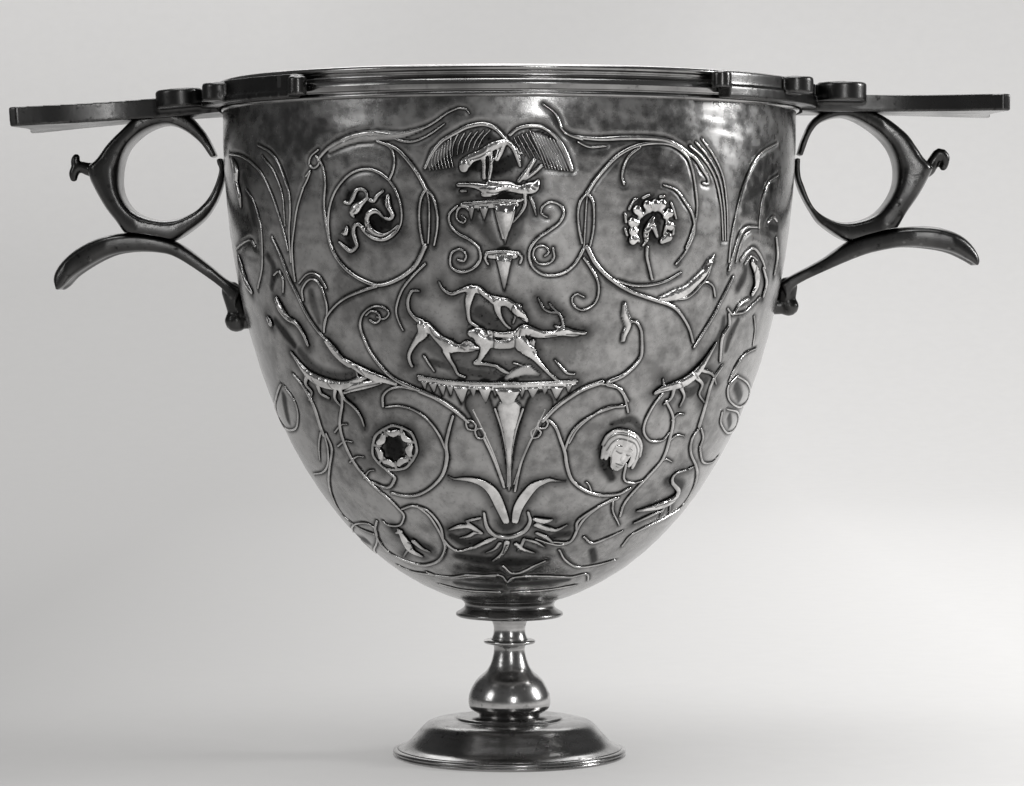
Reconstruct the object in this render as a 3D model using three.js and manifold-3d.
// Kantharos: a silver drinking cup on a turned stem and foot, with two ring handles.
// The outer cup is chased with scrolls, and a plain inner cup hangs inside it by its turned lip.
// Millimetres, +Z up. The origin is the middle of the surface that the foot stands on.
// X runs from handle tip to handle tip, and the front of the cup faces -Y.
import * as THREE from 'three';
import { mergeVertices } from 'three/addons/utils/BufferGeometryUtils.js';
import Module from 'manifold-3d';

const wasm = await Module();
wasm.setup();

// Driving dimensions of the cup
const LIP_HEIGHT = 134.6;
const SHOULDER_HEIGHT = 128.6;
const SHOULDER_RADIUS = 57.0;
const BOWL_BASE_HEIGHT = 31.6;
const BOWL_BASE_RADIUS = 10.0;
const RIM_RADIUS = 58.2;
const RIM_BORE_RADIUS = 55.0;
const RIM_TOP_HEIGHT = 133.4;
const CASING_WALL = 0.8;
const LINER_GAP = 1.5;
const LINER_WALL = 0.9;
const LIP_ROUND = 0.7;

// Driving dimensions of the stem and foot
const STEM_TOP_HEIGHT = 28.0;
const DISC_TOP_HEIGHT = 23.4;
const DISC_BOTTOM_HEIGHT = 22.6;
const KNOP_BOTTOM_HEIGHT = 8.0;
const FOOT_EDGE_HEIGHT = 1.6;
const FOOT_RADIUS = 23.4;

// Driving dimensions of the handles
const HANDLE_REACH = 98.0;
const PLATE_TOP = 132.0;
const PLATE_BEND_DISTANCE = 60.0;
const PLATE_BEND_HEIGHT = 130.4;

// Clearance between soldered pieces, and facet counts of the turned ones
const SEAT_GAP = 0.3;
const CUP_FACETS = 36;
const FOOT_FACETS = 28;
const STEM_FACETS = 20;
const VOLUTE_FACETS = 10;
const ROD_FACETS = 8;
const BALL_FACETS = 10;
const BALL_RINGS = 7;
const HALVINGS = 24;
const MERGE_DISTANCE = 1e-4;
const FULL_TURN = 2 * Math.PI;

const radians = (degrees) => THREE.MathUtils.degToRad(degrees);
const flat = ([x, y]) => new THREE.Vector2(x, y);

// Solids
// A closed mesh as a solid for joining and cutting.
function solidOf(geometry) {
  const bare = geometry.clone();
  bare.deleteAttribute('normal');
  bare.deleteAttribute('uv');
  const merged = mergeVertices(bare, MERGE_DISTANCE);
  const index = merged.index.array;
  const corners = [];
  for (let i = 0; i < index.length; i += 3) {
    const [a, b, c] = [index[i], index[i + 1], index[i + 2]];
    if (a !== b && b !== c && c !== a) corners.push(a, b, c);
  }
  const mesh = new wasm.Mesh({
    numProp: 3,
    vertProperties: new Float32Array(merged.attributes.position.array),
    triVerts: new Uint32Array(corners),
  });
  return new wasm.Manifold(mesh);
}

// A solid back as a mesh that can be drawn.
function geometryOf(solid) {
  const mesh = solid.getMesh();
  const geometry = new THREE.BufferGeometry();
  geometry.setAttribute('position', new THREE.BufferAttribute(new Float32Array(mesh.vertProperties), 3));
  geometry.setIndex(new THREE.BufferAttribute(new Uint32Array(mesh.triVerts), 1));
  geometry.computeVertexNormals();
  return geometry;
}

// A turned solid. The profile is a list of radius and height that runs up the outside.
function turned(profile, facets) {
  const geometry = new THREE.LatheGeometry(profile, facets);
  geometry.rotateX(Math.PI / 2);
  return solidOf(geometry);
}

// A turned ring: its profile closes on itself.
const turnedRing = (profile, facets) => turned([...profile, profile[0]], facets);

// An outline seen from the side, as distance out and height, given its width across Y.
function sideSlab(outline, width) {
  const shape = new THREE.Shape(outline);
  const geometry = new THREE.ExtrudeGeometry(shape, { depth: width, bevelEnabled: false });
  geometry.translate(0, 0, -width / 2);
  geometry.rotateX(Math.PI / 2);
  return solidOf(geometry);
}

// An outline seen from above, raised from a bottom height to a top height.
function planSlab(outline, bottom, top) {
  const shape = new THREE.Shape(outline);
  const geometry = new THREE.ExtrudeGeometry(shape, { depth: top - bottom, bevelEnabled: false });
  geometry.translate(0, 0, bottom);
  return solidOf(geometry);
}

// A solid swept along centres: each section is a loop of across and up offsets, anticlockwise.
function sweep(centres, ups, sections) {
  const count = sections[0].length;
  const positions = [];
  const corners = [];
  centres.forEach((centre, i) => {
    const before = centres[Math.max(i - 1, 0)];
    const after = centres[Math.min(i + 1, centres.length - 1)];
    const along = after.clone().sub(before).normalize();
    const across = ups[i].clone().cross(along).normalize();
    for (const [side, rise] of sections[i]) {
      const corner = centre.clone().addScaledVector(across, side).addScaledVector(ups[i], rise);
      positions.push(corner.x, corner.y, corner.z);
    }
  });
  for (let i = 0; i < centres.length - 1; i += 1) {
    for (let j = 0; j < count; j += 1) {
      const a = i * count + j;
      const b = i * count + (j + 1) % count;
      corners.push(a, b, b + count, a, b + count, a + count);
    }
  }
  const last = (centres.length - 1) * count;
  for (let j = 1; j < count - 1; j += 1) {
    corners.push(0, j + 1, j);
    corners.push(last, last + j, last + j + 1);
  }
  const geometry = new THREE.BufferGeometry();
  geometry.setAttribute('position', new THREE.Float32BufferAttribute(positions, 3));
  geometry.setIndex(corners);
  return solidOf(geometry);
}

// A smooth run through a few points.
const smooth = (points, steps) => new THREE.SplineCurve(points.map(flat)).getPoints(steps);

// A thin rod in the handle's own plane, tapering from radius to radius.
function rod(points, radii, steps) {
  const path = new THREE.SplineCurve(points.map(flat));
  const taper = new THREE.SplineCurve(radii.map((radius, i) => new THREE.Vector2(i, radius)));
  const centres = [];
  const sections = [];
  for (let i = 0; i <= steps; i += 1) {
    const place = path.getPoint(i / steps);
    const radius = taper.getPoint(i / steps).y;
    centres.push(new THREE.Vector3(place.x, 0, place.y));
    sections.push(circle(radius, ROD_FACETS));
  }
  return sweep(centres, centres.map(() => new THREE.Vector3(0, 1, 0)), sections);
}

function circle(radius, facets) {
  return Array.from({ length: facets }, (_, i) => {
    const turn = (FULL_TURN * i) / facets;
    return [radius * Math.cos(turn), radius * Math.sin(turn)];
  });
}

function ball(radius, distance, height) {
  const geometry = new THREE.SphereGeometry(radius, BALL_FACETS, BALL_RINGS);
  geometry.rotateX(Math.PI / 2);
  geometry.translate(distance, 0, height);
  return solidOf(geometry);
}

// The bowl
// Its outside is one curve from the base, out through the belly, to the upright shoulder.
const BELLY_PULL = new THREE.Vector2(38.4, 40.4);
const SHOULDER_PULL = new THREE.Vector2(57.2, 77.8);
const bowlCurve = new THREE.CubicBezierCurve(
  new THREE.Vector2(BOWL_BASE_RADIUS, BOWL_BASE_HEIGHT),
  BELLY_PULL,
  SHOULDER_PULL,
  new THREE.Vector2(SHOULDER_RADIUS, SHOULDER_HEIGHT),
);

// The bowl's curve, set in from the outside by a distance.
function bowlProfile(inset, steps) {
  return Array.from({ length: steps + 1 }, (_, i) => {
    const point = bowlCurve.getPoint(i / steps);
    const along = bowlCurve.getTangent(i / steps);
    return new THREE.Vector2(point.x - along.y * inset, point.y + along.x * inset);
  });
}

const onAxis = (height) => new THREE.Vector2(0, height);

// Where the bowl's curve passes a height, found by halving.
function bowlPlace(height) {
  let low = 0;
  let high = 1;
  for (let i = 0; i < HALVINGS; i += 1) {
    const middle = (low + high) / 2;
    if (bowlCurve.getPoint(middle).y < height) low = middle;
    else high = middle;
  }
  return low;
}

// A point of the bowl's outside, with its normal. The angle is in degrees from the front to +X.
function bowlPoint(angle, height) {
  const place = bowlPlace(height);
  const radius = bowlCurve.getPoint(place).x;
  const slope = bowlCurve.getTangent(place);
  const out = new THREE.Vector3(Math.sin(radians(angle)), -Math.cos(radians(angle)), 0);
  const normal = out.clone().multiplyScalar(slope.y);
  normal.z = -slope.x;
  const position = out.clone().multiplyScalar(radius);
  position.z = height;
  return { position, normal, radius, lean: slope.y };
}

// The relief on the casing
const STEM_HALF_WIDTH = 0.85;
const STEM_RISE = 1.1;
const RELIEF_ROOT = 0.45;
const STEM_END_TAPER = 0.35;
const STEM_CREST_SHARE = 0.5;
const SCROLL_EASE = 0.85;

// The section of a stem, wider at its root, which lies within the casing's wall.
function stemSection(scale) {
  const half = STEM_HALF_WIDTH * scale;
  const rise = STEM_RISE * scale;
  const crest = half * STEM_CREST_SHARE;
  return [[-half, -RELIEF_ROOT], [half, -RELIEF_ROOT], [crest, rise], [-crest, rise]];
}

// A chased stem along places on the bowl, each an angle and a height.
function chasedStem(places, startScale = 1, endScale = STEM_END_TAPER) {
  const points = places.map(([angle, height]) => bowlPoint(angle, height));
  const sections = points.map((point, i) => {
    const share = i / (points.length - 1);
    return stemSection(THREE.MathUtils.lerp(startScale, endScale, share));
  });
  return sweep(points.map((point) => point.position), points.map((point) => point.normal), sections);
}

// A scroll: a spiral about a centre, in degrees of turn and millimetres of radius on the surface.
function scrollPlaces({ angle, height, from, to, outer, inner, steps }) {
  const centre = bowlPoint(angle, height);
  return Array.from({ length: steps + 1 }, (_, i) => {
    const share = i / steps;
    const turn = radians(THREE.MathUtils.lerp(from, to, share));
    const reach = THREE.MathUtils.lerp(outer, inner, share ** SCROLL_EASE);
    const placeHeight = height + reach * Math.sin(turn) * centre.lean;
    const radius = bowlPoint(angle, placeHeight).radius;
    return [angle + THREE.MathUtils.radToDeg((reach * Math.cos(turn)) / radius), placeHeight];
  });
}

// The rings of a flower head: share of its rise, share of its radius, and how deep its petals part.
const FLOWER_RINGS = [[1, 0.78, 0.16], [0.5, 0.42, 0], [1.1, 0.2, 0]];
const PETAL_DEPTH = 0.16;

// A flower head: a dished disc with a knob, its edge drawn into petals.
function chasedFlower({ angle, height, radius, rise, petals }) {
  const { position, normal } = bowlPoint(angle, height);
  const facets = petals * 2;
  const scallop = (reach, depth) => Array.from({ length: facets }, (_, i) => {
    const turn = (FULL_TURN * i) / facets;
    const edge = reach * (i % 2 ? 1 - depth : 1);
    return [edge * Math.cos(turn), edge * Math.sin(turn)];
  });
  const raised = FLOWER_RINGS.map(([lift, reach, depth]) => [rise * lift, radius * reach, depth]);
  const rings = [[-RELIEF_ROOT, radius, PETAL_DEPTH], ...raised];
  const east = new THREE.Vector3(0, 0, 1).cross(normal).normalize();
  const north = normal.clone().cross(east);
  const positions = [];
  for (const [lift, reach, depth] of rings) {
    for (const [side, up] of scallop(reach, depth)) {
      const corner = position.clone().addScaledVector(normal, lift);
      corner.addScaledVector(east, side).addScaledVector(north, up);
      positions.push(corner.x, corner.y, corner.z);
    }
  }
  const corners = [];
  for (let i = 0; i < rings.length - 1; i += 1) {
    for (let j = 0; j < facets; j += 1) {
      const a = i * facets + j;
      const b = i * facets + (j + 1) % facets;
      corners.push(a, b, b + facets, a, b + facets, a + facets);
    }
  }
  const last = (rings.length - 1) * facets;
  for (let j = 1; j < facets - 1; j += 1) {
    corners.push(0, j + 1, j);
    corners.push(last, last + j, last + j + 1);
  }
  const geometry = new THREE.BufferGeometry();
  geometry.setAttribute('position', new THREE.Float32BufferAttribute(positions, 3));
  geometry.setIndex(corners);
  return solidOf(geometry);
}

// The scrolls of one face: two large ones at the shoulder and two smaller ones on the belly.
const UPPER_SCROLL = { angle: 28, height: 107.3, outer: 13.4, inner: 5.6, from: 235, to: -215, steps: 15 };
const LOWER_SCROLL = { angle: 29.3, height: 63.4, outer: 11.0, inner: 5.4, from: -15, to: -400, steps: 12 };
const CALYX_HEIGHT = 54.5;
const LEDGE_HEIGHT = 76.2;
const LEDGE_HALF_ANGLE = 18;
const SPIKE_TOP = 71.0;
const RISING_STEM = [[2, 55.5], [7.5, 67.5], [18, 75.5], [30, 82.0], [37, 90.5], [36.2, 96.6]];
const UPPER_FLOWER = { radius: 4.4, rise: 1.3, petals: 6 };
const LOWER_FLOWER = { radius: 3.9, rise: 1.3, petals: 6 };

// A scroll is drawn on the left of its face and mirrored for the right.
function mirroredPlaces(places, facing, hand) {
  return places.map(([angle, height]) => [facing + hand * angle, height]);
}

function faceRelief(facing) {
  const pieces = [];
  for (const hand of [-1, 1]) {
    for (const scroll of [UPPER_SCROLL, LOWER_SCROLL]) {
      const places = scrollPlaces({ ...scroll, angle: -scroll.angle });
      const turnedPlaces = places.map(([angle, height]) => [-angle, height]);
      pieces.push(chasedStem(mirroredPlaces(turnedPlaces, facing, hand)));
    }
    // The main stem rises from the calyx and swings out to the upper scroll.
    const rising = smooth(RISING_STEM, 8).map(({ x, y }) => [x, y]);
    pieces.push(chasedStem(mirroredPlaces(rising, facing, hand), 1, 0.95));
    for (const [scroll, flower] of [[UPPER_SCROLL, UPPER_FLOWER], [LOWER_SCROLL, LOWER_FLOWER]]) {
      pieces.push(chasedFlower({ ...flower, angle: facing + hand * scroll.angle, height: scroll.height }));
    }
  }
  // The ledge that the figures stand on, and the spike that carries it.
  pieces.push(chasedStem(linePlaces([facing - LEDGE_HALF_ANGLE, LEDGE_HEIGHT],
    [facing + LEDGE_HALF_ANGLE, LEDGE_HEIGHT], 6), 1, 1));
  pieces.push(chasedStem(linePlaces([facing, CALYX_HEIGHT], [facing, SPIKE_TOP], 3), 1.7, 0.7));
  return pieces;
}

function linePlaces(start, end, steps) {
  return Array.from({ length: steps + 1 }, (_, i) => [
    THREE.MathUtils.lerp(start[0], end[0], i / steps),
    THREE.MathUtils.lerp(start[1], end[1], i / steps),
  ]);
}

const FRONT = 0;
const BACK = 180;

// The outer cup: a thin raised wall with its relief standing out of it.
function reliefCasing() {
  const outside = bowlProfile(0, 10);
  const inside = bowlProfile(CASING_WALL, 6).reverse();
  const floor = onAxis(BOWL_BASE_HEIGHT + CASING_WALL);
  let casing = turned([onAxis(BOWL_BASE_HEIGHT), ...outside, ...inside, floor], CUP_FACETS);
  for (const piece of [...faceRelief(FRONT), ...faceRelief(BACK)]) casing = casing.add(piece);
  return casing;
}

// The inner cup hangs in the casing. Its lip is rolled outwards over the rim moulding.
function innerLiner() {
  const outside = bowlProfile(CASING_WALL + LINER_GAP, 6);
  const inside = bowlProfile(CASING_WALL + LINER_GAP + LINER_WALL, 7).reverse();
  const neck = outside.at(-1).x;
  const bore = inside[0].x;
  const lip = [[neck, RIM_TOP_HEIGHT], [57.6, RIM_TOP_HEIGHT], [58.0, 133.8], [57.9, 134.3],
    [57.2, LIP_HEIGHT], [bore + LIP_ROUND, LIP_HEIGHT], [bore, LIP_HEIGHT - LIP_ROUND]].map(flat);
  const floors = [onAxis(outside[0].y), onAxis(inside.at(-1).y)];
  return turned([floors[0], ...outside, ...lip, ...inside, floors[1]], CUP_FACETS);
}

// The moulding round the mouth: a fillet, a hollow, a round and a hollow under the lip.
function rimMoulding() {
  const profile = [[RIM_BORE_RADIUS, SHOULDER_HEIGHT], [57.2, SHOULDER_HEIGHT], [57.7, 128.9], [57.7, 129.4],
    [57.3, 129.8], [57.8, 130.2], [RIM_RADIUS, 131.0], [57.8, 131.9], [57.1, 132.3], [56.9, 132.8],
    [57.4, RIM_TOP_HEIGHT], [RIM_BORE_RADIUS, RIM_TOP_HEIGHT]];
  return turnedRing(profile.map(flat), CUP_FACETS);
}

// The stem
function bowlCollar() {
  const profile = [[0, STEM_TOP_HEIGHT], [10.2, STEM_TOP_HEIGHT], [10.8, 28.4], [10.7, 28.9], [9.9, 29.3],
    [9.1, 29.9], [8.9, 30.5], [9.2, 31.1], [9.9, BOWL_BASE_HEIGHT], [0, BOWL_BASE_HEIGHT]];
  return turned(profile.map(flat), STEM_FACETS);
}

function stemSpool() {
  const waist = smooth([[3.7, DISC_TOP_HEIGHT], [3.3, 24.4], [3.3, 26.0], [3.9, STEM_TOP_HEIGHT]], 5);
  return turned([onAxis(DISC_TOP_HEIGHT), ...waist, onAxis(STEM_TOP_HEIGHT)], STEM_FACETS);
}

function stemDisc() {
  const profile = [[0, DISC_BOTTOM_HEIGHT], [4.9, DISC_BOTTOM_HEIGHT], [5.2, 22.85], [5.2, 23.15],
    [4.9, DISC_TOP_HEIGHT], [0, DISC_TOP_HEIGHT]];
  return turned(profile.map(flat), STEM_FACETS);
}

// The knop is a small vase: a short neck on the foot, a round belly and a long shoulder.
function balusterKnop() {
  const neck = [[6.1, KNOP_BOTTOM_HEIGHT], [6.1, 8.5]].map(flat);
  const vase = smooth([[6.7, 8.8], [8.0, 9.8], [8.2, 11.6], [7.7, 13.4], [6.5, 15.4], [4.4, 17.4],
    [3.5, 19.4], [3.1, 21.6], [3.5, DISC_BOTTOM_HEIGHT]], 11);
  return turned([onAxis(KNOP_BOTTOM_HEIGHT), ...neck, ...vase, onAxis(DISC_BOTTOM_HEIGHT)], STEM_FACETS);
}

// The foot
// A raised dome, hollow underneath, with a step where the knop stands.
function footDome() {
  const step = [[10.3, KNOP_BOTTOM_HEIGHT], [10.7, 7.75], [10.7, 7.5]];
  const outside = smooth([[22.5, FOOT_EDGE_HEIGHT], [20.6, 2.5], [18.5, 4.7], [16.5, 6.7], [14.0, 7.4],
    [11.6, 7.5]], 8);
  const inside = smooth([[12.0, 6.4], [15.6, 5.8], [17.6, 4.0], [19.4, 2.1], [20.9, FOOT_EDGE_HEIGHT]], 5);
  const middle = [onAxis(KNOP_BOTTOM_HEIGHT), onAxis(6.5)];
  return turned([middle[1], ...inside, ...outside, ...step.reverse().map(flat), middle[0]], FOOT_FACETS);
}

// The foot's edge: two fillets with a groove between them, flat underneath.
function footRim() {
  const bore = FOOT_RADIUS - 2.8;
  const profile = [[bore, 0], [FOOT_RADIUS - 0.4, 0], [FOOT_RADIUS, 0.3], [FOOT_RADIUS, 0.65],
    [FOOT_RADIUS - 0.25, 0.8], [FOOT_RADIUS, 0.95], [FOOT_RADIUS - 0.1, 1.35],
    [FOOT_RADIUS - 0.5, FOOT_EDGE_HEIGHT], [bore, FOOT_EDGE_HEIGHT]];
  return turnedRing(profile.map(flat), FOOT_FACETS);
}

// The handles
// Each is drawn in its own plane, as distance out from the cup's axis and height. The two were cast
// and bent by hand, so each side has its own outlines.
const rightHandle = {
  droop: 0.4,
  thickness: 3.3,
  arm: { bottom: 131.2, top: 134.0 },
  lobe: { angle: 27.5, distance: 61.4, radius: 3.6, bottom: 131.0, top: 134.1 },
  side: { radius: 4.9, distance: 65.2, across: 10.4, bottom: 130.5, top: 134.2 },
  hole: [[57.9, 119.5], [57.9, 117.0], [58.5, 114.6], [61.1, 109.3], [66.5, 106.9], [72.6, 108.6],
    [76.3, 113.6], [76.4, 119.3], [73.5, 123.9], [67.4, 127.6], [62.6, 127.0], [60.2, 124.8], [58.5, 120.5]],
  upperBack: [[57.4, 120.7], [58.4, 123.8], [60.6, 127.6], [66.0, 130.4], [73.0, 128.6], [78.4, 124.9],
    [80.8, 121.9], [82.3, 119.7]],
  spur: [84.3, 117.7],
  lowerBack: [[83.0, 115.2], [81.5, 112.5], [79.0, 108.9], [76.0, 104.6], [71.0, 103.4], [67.0, 103.2],
    [62.2, 106.2], [60.2, 108.7], [58.2, 112.2], [57.1, 115.2], [56.8, 117.5], [56.9, 119.4]],
  neck: [[82.0, 116.9], [83.6, 117.8], [84.7, 119.8], [85.9, 121.3], [87.0, 120.6], [86.7, 118.7]],
  neckRadii: [1.9, 1.25, 0.85, 0.95, 0.75, 0.45],
  neckEnd: { radius: 0.65, at: [86.6, 118.4] },
  strutTop: [[54.0, 94.9], [56.4, 96.4], [62.2, 99.5], [67.7, 103.2], [74.0, 105.2], [79.0, 106.0],
    [84.5, 106.0], [89.2, 104.6], [92.0, 102.4], [93.6, 99.6]],
  strutTip: [93.1, 98.1],
  strutBottom: [[91.0, 99.3], [87.6, 100.8], [83.0, 101.6], [78.4, 101.8], [73.8, 101.1], [69.6, 99.9],
    [62.5, 96.9], [58.5, 95.0], [56.6, 93.7], [55.4, 91.6]],
  stop: { radius: 2.0, at: [55.8, 90.2] },
};

const leftHandle = {
  droop: 4.4,
  thickness: 3.8,
  arm: { bottom: 130.2, top: 133.5 },
  lobe: { angle: 24, distance: 61.2, radius: 3.1, bottom: 129.6, top: 133.1 },
  side: { radius: 4.6, distance: 64.8, across: 10.4, bottom: 129.6, top: 133.2 },
  hole: [[57.8, 117.4], [58.7, 114.3], [60.3, 111.4], [63.0, 108.9], [66.6, 107.5], [70.6, 107.5],
    [74.8, 109.3], [77.0, 112.7], [77.2, 117.0], [75.9, 121.4], [72.6, 124.6], [68.4, 126.2],
    [65.0, 125.3], [61.8, 122.9], [59.8, 120.2], [58.9, 118.3]],
  upperBack: [[57.9, 118.7], [59.0, 121.8], [61.0, 125.2], [64.2, 128.4], [69.0, 129.6], [73.5, 128.3],
    [77.2, 125.0], [80.0, 122.2], [82.0, 119.5]],
  spur: [83.9, 117.6],
  lowerBack: [[83.0, 114.6], [80.5, 110.1], [78.3, 107.2], [75.8, 104.2], [71.5, 103.8], [66.9, 103.2],
    [61.4, 106.8], [58.8, 110.1], [57.3, 113.6], [56.8, 116.2], [56.9, 117.9]],
  neck: [[82.2, 117.0], [83.8, 117.4], [85.4, 117.3], [86.3, 117.0], [87.0, 116.3], [86.9, 115.5]],
  neckRadii: [1.9, 1.15, 0.75, 0.85, 0.7, 0.5],
  neckEnd: { radius: 0.75, at: [86.3, 118.3] },
  strutTop: [[53.6, 93.9], [56.9, 95.9], [60.1, 98.6], [65.5, 102.6], [70.5, 104.2], [75.5, 104.8],
    [80.0, 104.3], [84.2, 102.7], [87.5, 100.5], [89.8, 98.0], [90.7, 95.6]],
  strutTip: [89.7, 93.0],
  strutBottom: [[88.2, 94.2], [86.3, 96.1], [82.4, 98.6], [78.6, 100.3], [74.5, 100.9], [69.7, 100.7],
    [66.2, 99.7], [60.1, 95.7], [56.6, 92.8], [54.9, 89.6]],
  stop: { radius: 2.3, at: [54.6, 87.3] },
};

// Half widths across Y, by distance out
const RING_HALF_WIDTHS = [[54, 2.2], [60, 3.2], [66, 4.9], [74, 6.5], [90, 6.5]];
const STRUT_HALF_WIDTHS = [[50, 2.2], [60, 2.6], [70, 4.6], [80, 6.2], [88, 6.4], [93, 4.6], [94.4, 2.4]];
const CHANNEL_SHARE = 0.62;
const CHANNEL_DEPTH = 1.1;
const STRUT_STEPS = 15;
const CHANNEL_STEPS = 12;
const STOP_NECK_RADIUS = 1.5;
const STOP_NECK_SINK = [1, 0.6];
const STOP_PEG_RADIUS = 1.2;
const STOP_PEG_LENGTH = 4;
const SLAB_WIDTH = 40;
const HANDLE_BOTTOM = 80;
const HANDLE_TOP = 140;
const TRIM_OVERRUN = 10;

// A plan outline that is the same on both sides of the handle's plane.
function planOutline(halfWidths, share = 1) {
  const near = halfWidths.map(([distance, half]) => new THREE.Vector2(distance, -half * share));
  const far = halfWidths.map(([distance, half]) => new THREE.Vector2(distance, half * share)).reverse();
  return [...near, ...far];
}

// The bowl with its clearance, to trim what is soldered to the wall.
function wallTrim() {
  const outside = bowlProfile(-SEAT_GAP, 24);
  return turned([onAxis(outside[0].y), ...outside, onAxis(outside.at(-1).y)], CUP_FACETS);
}

// The rim with its clearance, to trim what hugs it.
function rimTrim() {
  const bottom = SHOULDER_HEIGHT - TRIM_OVERRUN;
  const top = LIP_HEIGHT + TRIM_OVERRUN;
  const radius = RIM_RADIUS + SEAT_GAP;
  return turned([[0, bottom], [radius, bottom], [radius, top], [0, top]].map(flat), CUP_FACETS);
}

// Bends a piece of the thumb plate down about the line where it leaves the rim.
function drooped(solid, droop) {
  const moved = solid.translate([-PLATE_BEND_DISTANCE, 0, -PLATE_BEND_HEIGHT]);
  return moved.rotate([0, droop, 0]).translate([PLATE_BEND_DISTANCE, 0, PLATE_BEND_HEIGHT]);
}

// The tongue that the thumb rests on: waisted, then flaring to a hollow end.
const TONGUE_HALF_WIDTHS = [[57, 9.6], [62, 8.8], [70, 8.0], [78, 8.4], [86, 10.4], [92, 12.9], [96.4, 14.6]];
const TONGUE_CORNER_HALF_WIDTH = 13.8;
const TONGUE_HOLLOW = 1.6;
const TONGUE_BEVEL = 0.35;

function tongue(droop, thickness) {
  const edge = smooth(TONGUE_HALF_WIDTHS, 12);
  const above = PLATE_TOP - TONGUE_BEVEL - PLATE_BEND_HEIGHT;
  const level = HANDLE_REACH - PLATE_BEND_DISTANCE - above * Math.sin(radians(droop));
  const reach = PLATE_BEND_DISTANCE + level / Math.cos(radians(droop));
  const end = smooth([[reach, TONGUE_CORNER_HALF_WIDTH], [reach - TONGUE_HOLLOW, 0],
    [reach, -TONGUE_CORNER_HALF_WIDTH]], 6);
  const outline = [...edge, ...end, ...edge.map(({ x, y }) => new THREE.Vector2(x, -y)).reverse()];
  const shape = new THREE.Shape(outline);
  const geometry = new THREE.ExtrudeGeometry(shape, {
    depth: thickness - 2 * TONGUE_BEVEL, bevelEnabled: true, bevelThickness: TONGUE_BEVEL,
    bevelSize: TONGUE_BEVEL, bevelOffset: -TONGUE_BEVEL, bevelSegments: 1,
  });
  geometry.translate(0, 0, PLATE_TOP - thickness + TONGUE_BEVEL);
  return solidOf(geometry);
}

// A volute seen from above: a rounded disc with a raised eye in a groove.
const VOLUTE_BEVEL = 0.45;
const EYE_SHARE = 0.34;
const GROOVE_OUTER_SHARE = 0.51;
const GROOVE_INNER_SHARE = 0.41;
const EYE_SHOULDER_RISE = 0.225;
const EYE_RISE = 0.36;

function volute(radius, distance, across, bottom, top) {
  const profile = [[0, bottom], [radius, bottom], [radius, top - VOLUTE_BEVEL], [radius - VOLUTE_BEVEL, top],
    [radius * GROOVE_OUTER_SHARE, top], [radius * GROOVE_INNER_SHARE, top - VOLUTE_BEVEL],
    [radius * EYE_SHARE, top + EYE_SHOULDER_RISE], [0, top + EYE_RISE]];
  return turned(profile.map(flat), VOLUTE_FACETS).translate([distance, across, 0]);
}

// A band along the rim between two angles from the handle's plane.
function rimBand(inner, outer, start, end, bottom, top) {
  const steps = 5;
  const arc = (radius, from, to) => Array.from({ length: steps + 1 }, (_, i) => {
    const turn = radians(THREE.MathUtils.lerp(from, to, i / steps));
    return new THREE.Vector2(radius * Math.cos(turn), radius * Math.sin(turn));
  });
  return planSlab([...arc(outer, start, end), ...arc(inner, end, start)], bottom, top);
}

const ARM_OUTER_RADIUS = 61.2;
const ARM_END_ANGLE = 49;
const END_VOLUTE = { angle: ARM_END_ANGLE, distance: 60, radius: 1.8 };
const ARM_START_ANGLE = 5;
const ARM_OVERLAP = 1;
const ARM_SETBACK = 0.5;
const BASE_BAND_BOTTOM = 129.2;
const BASE_BAND_OVERLAP = 0.2;

// The thumb plate: a tongue, and above it two arms along the rim that end in small volutes.
function thumbPlate({ droop, thickness, arm, lobe, side }) {
  let plate = drooped(tongue(droop, thickness), droop);
  const inner = RIM_RADIUS - ARM_OVERLAP;
  const baseEnd = ARM_END_ANGLE - ARM_OVERLAP;
  const baseTop = arm.bottom + BASE_BAND_OVERLAP;
  plate = plate.add(rimBand(inner, ARM_OUTER_RADIUS, -baseEnd, baseEnd, BASE_BAND_BOTTOM, baseTop));
  for (const hand of [-1, 1]) {
    const [start, end] = hand > 0 ? [ARM_START_ANGLE, ARM_END_ANGLE] : [-ARM_END_ANGLE, -ARM_START_ANGLE];
    const outer = ARM_OUTER_RADIUS - ARM_SETBACK;
    plate = plate.add(rimBand(inner, outer, start, end, arm.bottom, arm.top));
    for (const { angle, distance, radius } of [END_VOLUTE, lobe]) {
      const turn = radians(hand * angle);
      const place = [distance * Math.cos(turn), distance * Math.sin(turn)];
      plate = plate.add(volute(radius, ...place, lobe.bottom, lobe.top));
    }
    const outerVolute = volute(side.radius, side.distance, hand * side.across, side.bottom, side.top);
    plate = plate.add(drooped(outerVolute, droop));
  }
  return plate.subtract(rimTrim());
}

// The underside of the thumb plate with its clearance, to trim the ring below it.
function plateTrim(droop, thickness) {
  const bottom = PLATE_TOP - thickness - SEAT_GAP;
  const top = HANDLE_TOP + TRIM_OVERRUN;
  const far = HANDLE_REACH + TRIM_OVERRUN;
  const block = [[0, bottom], [far, bottom], [far, top], [0, top]];
  return drooped(sideSlab(block.map(flat), SLAB_WIDTH), droop);
}

function strutOutline({ strutTop, strutTip, strutBottom }) {
  return [...smooth(strutTop, 16), flat(strutTip), ...smooth(strutBottom, STRUT_STEPS)];
}

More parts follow.
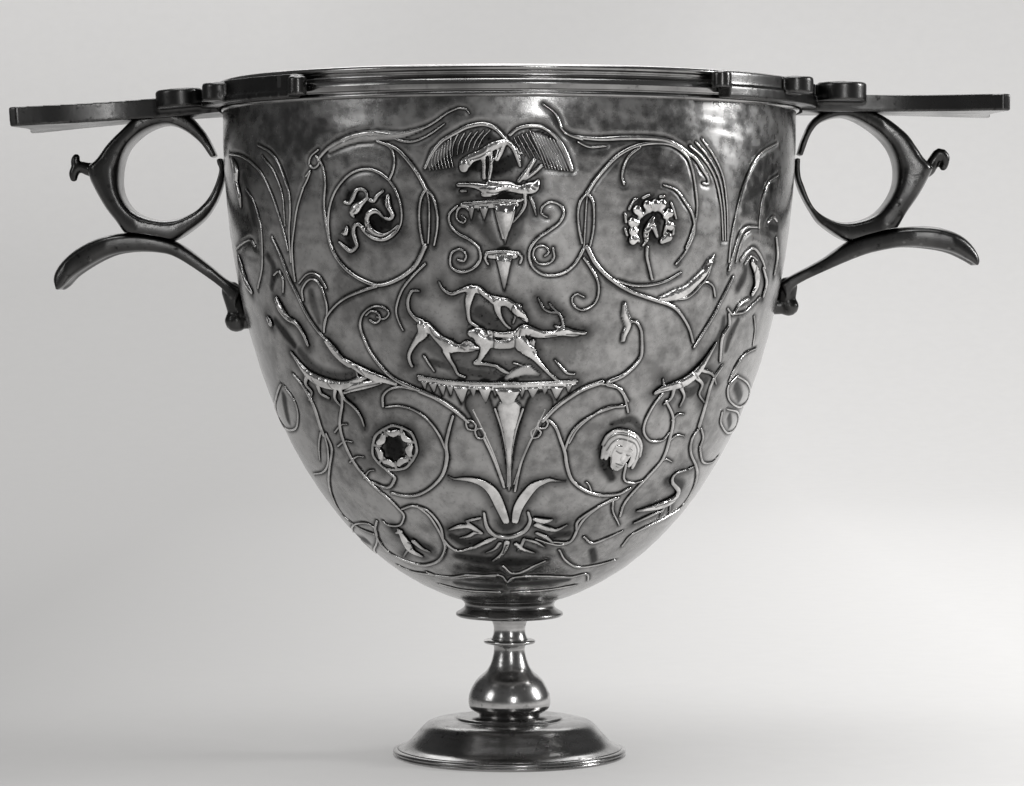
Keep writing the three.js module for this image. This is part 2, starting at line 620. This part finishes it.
// The finger ring: an open band, thin at the wall and heavy outside, with a spur and a curled neck.
function fingerRing(handle) {
  const { hole, upperBack, spur, lowerBack, neck, neckRadii, neckEnd, droop, thickness } = handle;
  const back = [...smooth(upperBack, 12), flat(spur), ...smooth(lowerBack, 15)];
  const outline = [...back, ...smooth(hole, 18)];
  let ring = sideSlab(outline, SLAB_WIDTH);
  ring = ring.intersect(planSlab(planOutline(RING_HALF_WIDTHS), HANDLE_BOTTOM, HANDLE_TOP));
  ring = ring.add(rod(neck, neckRadii, 10)).add(ball(neckEnd.radius, ...neckEnd.at));
  const strutTrim = sideSlab(strutOutline(handle), SLAB_WIDTH).translate([0, 0, SEAT_GAP]);
  return ring.subtract(plateTrim(droop, thickness)).subtract(strutTrim).subtract(wallTrim());
}

// The strut: a leaf channelled underneath, its root on the wall above a small round stop.
function lowerStrut(handle) {
  const outline = strutOutline(handle);
  const plan = planSlab(planOutline(STRUT_HALF_WIDTHS), HANDLE_BOTTOM, HANDLE_TOP);
  let strut = sideSlab(outline, SLAB_WIDTH).intersect(plan);
  const under = smooth(handle.strutBottom, STRUT_STEPS).slice(0, CHANNEL_STEPS);
  const lifted = under.map(({ x, y }) => new THREE.Vector2(x, y + CHANNEL_DEPTH)).reverse();
  const lowered = under.map(({ x, y }) => new THREE.Vector2(x, y - CHANNEL_DEPTH));
  const channel = sideSlab([...lowered, ...lifted], SLAB_WIDTH)
    .intersect(planSlab(planOutline(STRUT_HALF_WIDTHS, CHANNEL_SHARE), HANDLE_BOTTOM, HANDLE_TOP));
  strut = strut.subtract(channel);
  const { stop } = handle;
  const [rootDistance, rootHeight] = handle.strutBottom.at(-2);
  const neckStart = [rootDistance - STOP_NECK_SINK[0], rootHeight + STOP_NECK_SINK[1]];
  strut = strut.add(rod([neckStart, stop.at], [STOP_NECK_RADIUS, STOP_PEG_RADIUS], 3));
  strut = strut.add(ball(stop.radius, ...stop.at));
  const pegStart = [stop.at[0] - STOP_PEG_LENGTH, stop.at[1]];
  strut = strut.add(rod([pegStart, stop.at], [STOP_PEG_RADIUS, STOP_PEG_RADIUS], 2));
  return strut.subtract(wallTrim());
}

// Materials: one silver, polished, worn or tarnished
const silver = (color, roughness) => new THREE.MeshStandardMaterial({ color, roughness, metalness: 1 });
const polished = silver(0xd0d0cd, 0.22);
const chased = silver(0xa8a8a5, 0.34);
const footSilver = silver(0x9c9c9a, 0.24);
const handleSilver = silver(0x6c6c6b, 0.3);

// The whole cup
const kantharos = new THREE.Group();

function place(parent, name, solid, material) {
  const mesh = new THREE.Mesh(geometryOf(solid), material);
  mesh.name = name;
  parent.add(mesh);
}

place(kantharos, 'inner_liner', innerLiner(), polished);
place(kantharos, 'relief_casing', reliefCasing(), chased);
place(kantharos, 'rim_moulding', rimMoulding(), polished);
place(kantharos, 'bowl_collar', bowlCollar(), footSilver);
place(kantharos, 'stem_spool', stemSpool(), footSilver);
place(kantharos, 'stem_disc', stemDisc(), footSilver);
place(kantharos, 'baluster_knop', balusterKnop(), footSilver);
place(kantharos, 'foot_dome', footDome(), footSilver);
place(kantharos, 'foot_rim', footRim(), footSilver);

for (const [name, handle, turn] of [['right', rightHandle, 0], ['left', leftHandle, Math.PI]]) {
  const side = new THREE.Group();
  side.rotation.z = turn;
  place(side, `thumb_plate_${name}`, thumbPlate(handle), handleSilver);
  place(side, `finger_ring_${name}`, fingerRing(handle), handleSilver);
  place(side, `lower_strut_${name}`, lowerStrut(handle), handleSilver);
  kantharos.add(side);
}

export default kantharos;
